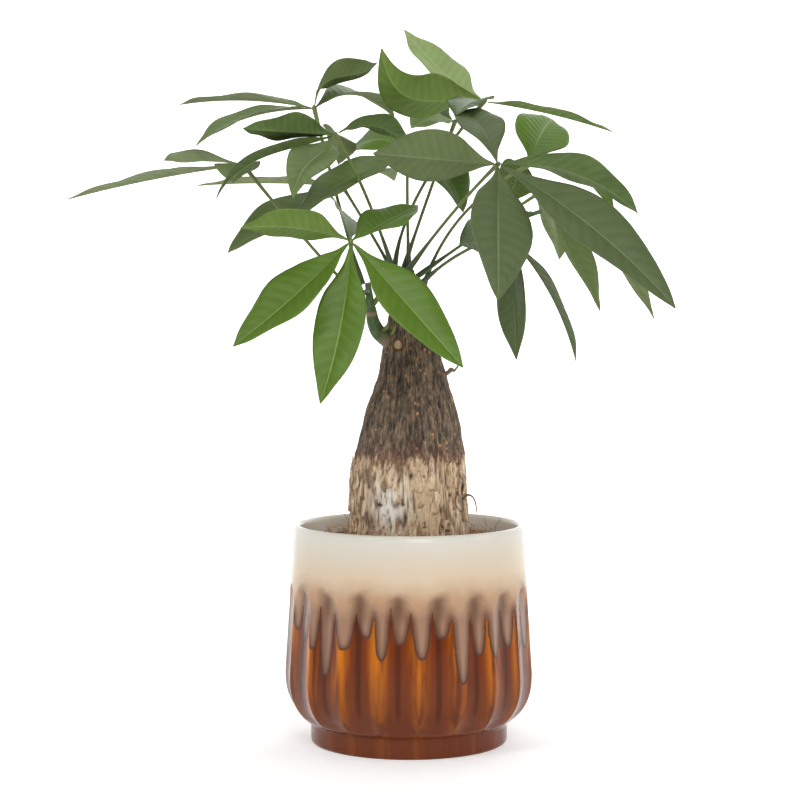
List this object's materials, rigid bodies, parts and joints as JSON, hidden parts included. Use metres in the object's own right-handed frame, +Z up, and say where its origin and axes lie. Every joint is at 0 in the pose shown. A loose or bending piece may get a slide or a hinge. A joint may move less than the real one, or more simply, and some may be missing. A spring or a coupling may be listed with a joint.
{
  "type": "potted money tree",
  "caption": "Money tree with a bottle-shaped stump and palmate leaves, growing in coir in a round fluted glazed pot.",
  "frame": {"origin": "centre of the pot's flat foot, on the surface it stands on", "axes": "+Z up, -Y towards the plant's front, +X to the right seen from the front"},
  "size_m": [0.374, 0.249, 0.4546],
  "materials": {
    "pot_glaze": "gloss",
    "coir": "matte",
    "bark": "matte",
    "petiole": "satin",
    "leaf_blade": "satin"
  },
  "bodies": {
    "root": {"pot": "pot_glaze", "soil": "coir", "trunk": "bark", "front_left_petiole": "petiole", "front_left_leaflet_1": "leaf_blade", "front_left_leaflet_2": "leaf_blade", "front_left_leaflet_3": "leaf_blade", "front_left_leaflet_4": "leaf_blade", "front_left_leaflet_5": "leaf_blade", "front_left_leaflet_6": "leaf_blade", "front_right_petiole": "petiole", "front_right_leaflet_1": "leaf_blade", "front_right_leaflet_2": "leaf_blade", "front_right_leaflet_3": "leaf_blade", "front_right_leaflet_4": "leaf_blade", "front_right_leaflet_5": "leaf_blade", "top_right_petiole": "petiole", "top_right_leaflet_1": "leaf_blade", "top_right_leaflet_2": "leaf_blade", "top_right_leaflet_3": "leaf_blade", "top_right_leaflet_4": "leaf_blade", "top_left_petiole": "petiole", "top_left_leaflet_1": "leaf_blade", "top_left_leaflet_2": "leaf_blade", "top_left_leaflet_3": "leaf_blade", "top_left_leaflet_4": "leaf_blade", "upper_left_petiole": "petiole", "upper_left_leaflet_1": "leaf_blade", "upper_left_leaflet_2": "leaf_blade", "upper_left_leaflet_3": "leaf_blade", "upper_left_leaflet_4": "leaf_blade", "upper_left_leaflet_5": "leaf_blade", "far_left_petiole": "petiole", "far_left_leaflet_1": "leaf_blade", "far_left_leaflet_2": "leaf_blade", "far_left_leaflet_3": "leaf_blade", "back_left_petiole": "petiole", "back_left_leaflet_1": "leaf_blade", "back_left_leaflet_2": "leaf_blade", "back_left_leaflet_3": "leaf_blade", "middle_petiole": "petiole", "middle_leaflet_1": "leaf_blade", "middle_leaflet_2": "leaf_blade", "middle_leaflet_3": "leaf_blade", "back_right_petiole": "petiole", "back_right_leaflet_1": "leaf_blade", "back_right_leaflet_2": "leaf_blade", "back_right_leaflet_3": "leaf_blade", "low_right_petiole": "petiole", "low_right_leaflet_1": "leaf_blade", "low_right_leaflet_2": "leaf_blade", "low_right_leaflet_3": "leaf_blade", "low_right_leaflet_4": "leaf_blade", "back_middle_petiole": "petiole", "back_middle_leaflet_1": "leaf_blade", "back_middle_leaflet_2": "leaf_blade", "upper_right_petiole": "petiole", "upper_right_leaflet_1": "leaf_blade", "upper_right_leaflet_2": "leaf_blade", "upper_right_leaflet_3": "leaf_blade"}
  },
  "joints": []
}
